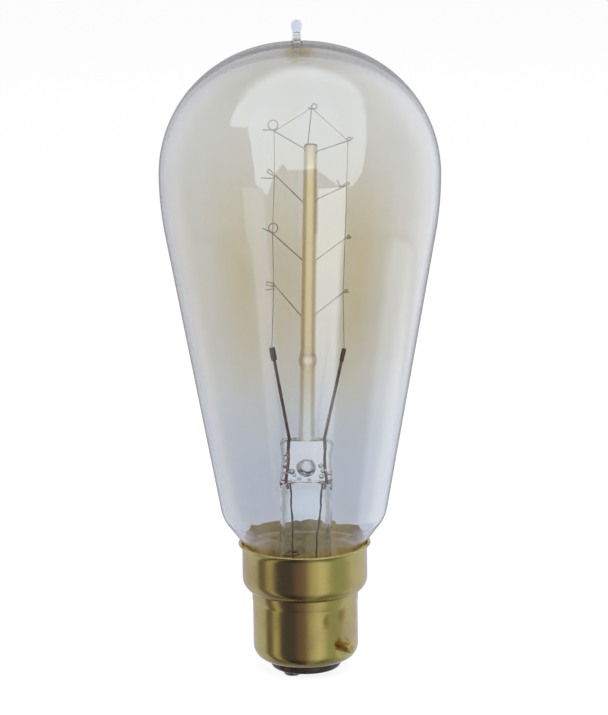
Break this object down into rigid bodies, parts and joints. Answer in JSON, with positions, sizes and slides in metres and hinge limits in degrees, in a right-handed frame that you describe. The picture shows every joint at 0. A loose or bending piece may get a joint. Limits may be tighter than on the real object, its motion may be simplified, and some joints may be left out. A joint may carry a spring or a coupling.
{
  "type": "carbon filament bulb",
  "caption": "Clear pear-shaped filament lamp with a tipped crown, a hairpin filament on hooked support wires around a glass rod, and a brass bayonet cap.",
  "frame": {"origin": "where the axis of the bayonet pins crosses the lamp's axis", "axes": "+Z along the lamp's axis from cap to crown, +X across the filament's plane, -Y towards the viewer of the picture"},
  "size_m": [0.058, 0.058, 0.1382],
  "materials": {
    "envelope_glass": "clear blown glass",
    "tip_glass": "clear melted glass",
    "stem_glass": "clear pressed glass",
    "rod_glass": "clear drawn glass",
    "filament_carbon": "dull dark carbon",
    "support_wire": "drawn grey wire",
    "crimp_metal": "dark crimped metal",
    "lead_wire": "oxidised drawn wire",
    "seal_wire": "red oxidised copper cladding",
    "outer_wire": "dull copper wire",
    "cement": "matt tan cement",
    "cap_brass": "bright pressed brass, slightly tarnished",
    "pin_brass": "turned brass",
    "black_glass": "glossy opaque black glass",
    "contact_brass": "stamped brass",
    "solder": "dull soft solder"
  },
  "bodies": {
    "root": {"envelope": "envelope_glass", "exhaust_tip": "tip_glass", "stem": "stem_glass", "support_rod": "rod_glass", "filament": "filament_carbon", "anchor_left_upper": "support_wire", "anchor_left_middle": "support_wire", "anchor_left_lower": "support_wire", "anchor_right_upper": "support_wire", "anchor_right_middle": "support_wire", "anchor_right_lower": "support_wire", "anchor_top_left": "support_wire", "anchor_top_right": "support_wire", "anchor_top_middle": "support_wire", "filament_clamp_left": "crimp_metal", "filament_clamp_right": "crimp_metal", "inner_lead_left": "lead_wire", "inner_lead_right": "lead_wire", "seal_wire_left": "seal_wire", "seal_wire_right": "seal_wire", "outer_lead_left": "outer_wire", "outer_lead_right": "outer_wire", "capping_cement": "cement", "cap_shell": "cap_brass", "bayonet_pin_front": "pin_brass", "bayonet_pin_rear": "pin_brass", "cap_insulator": "black_glass", "contact_plate_left": "contact_brass", "contact_plate_right": "contact_brass", "solder_left": "solder", "solder_right": "solder"}
  },
  "joints": []
}
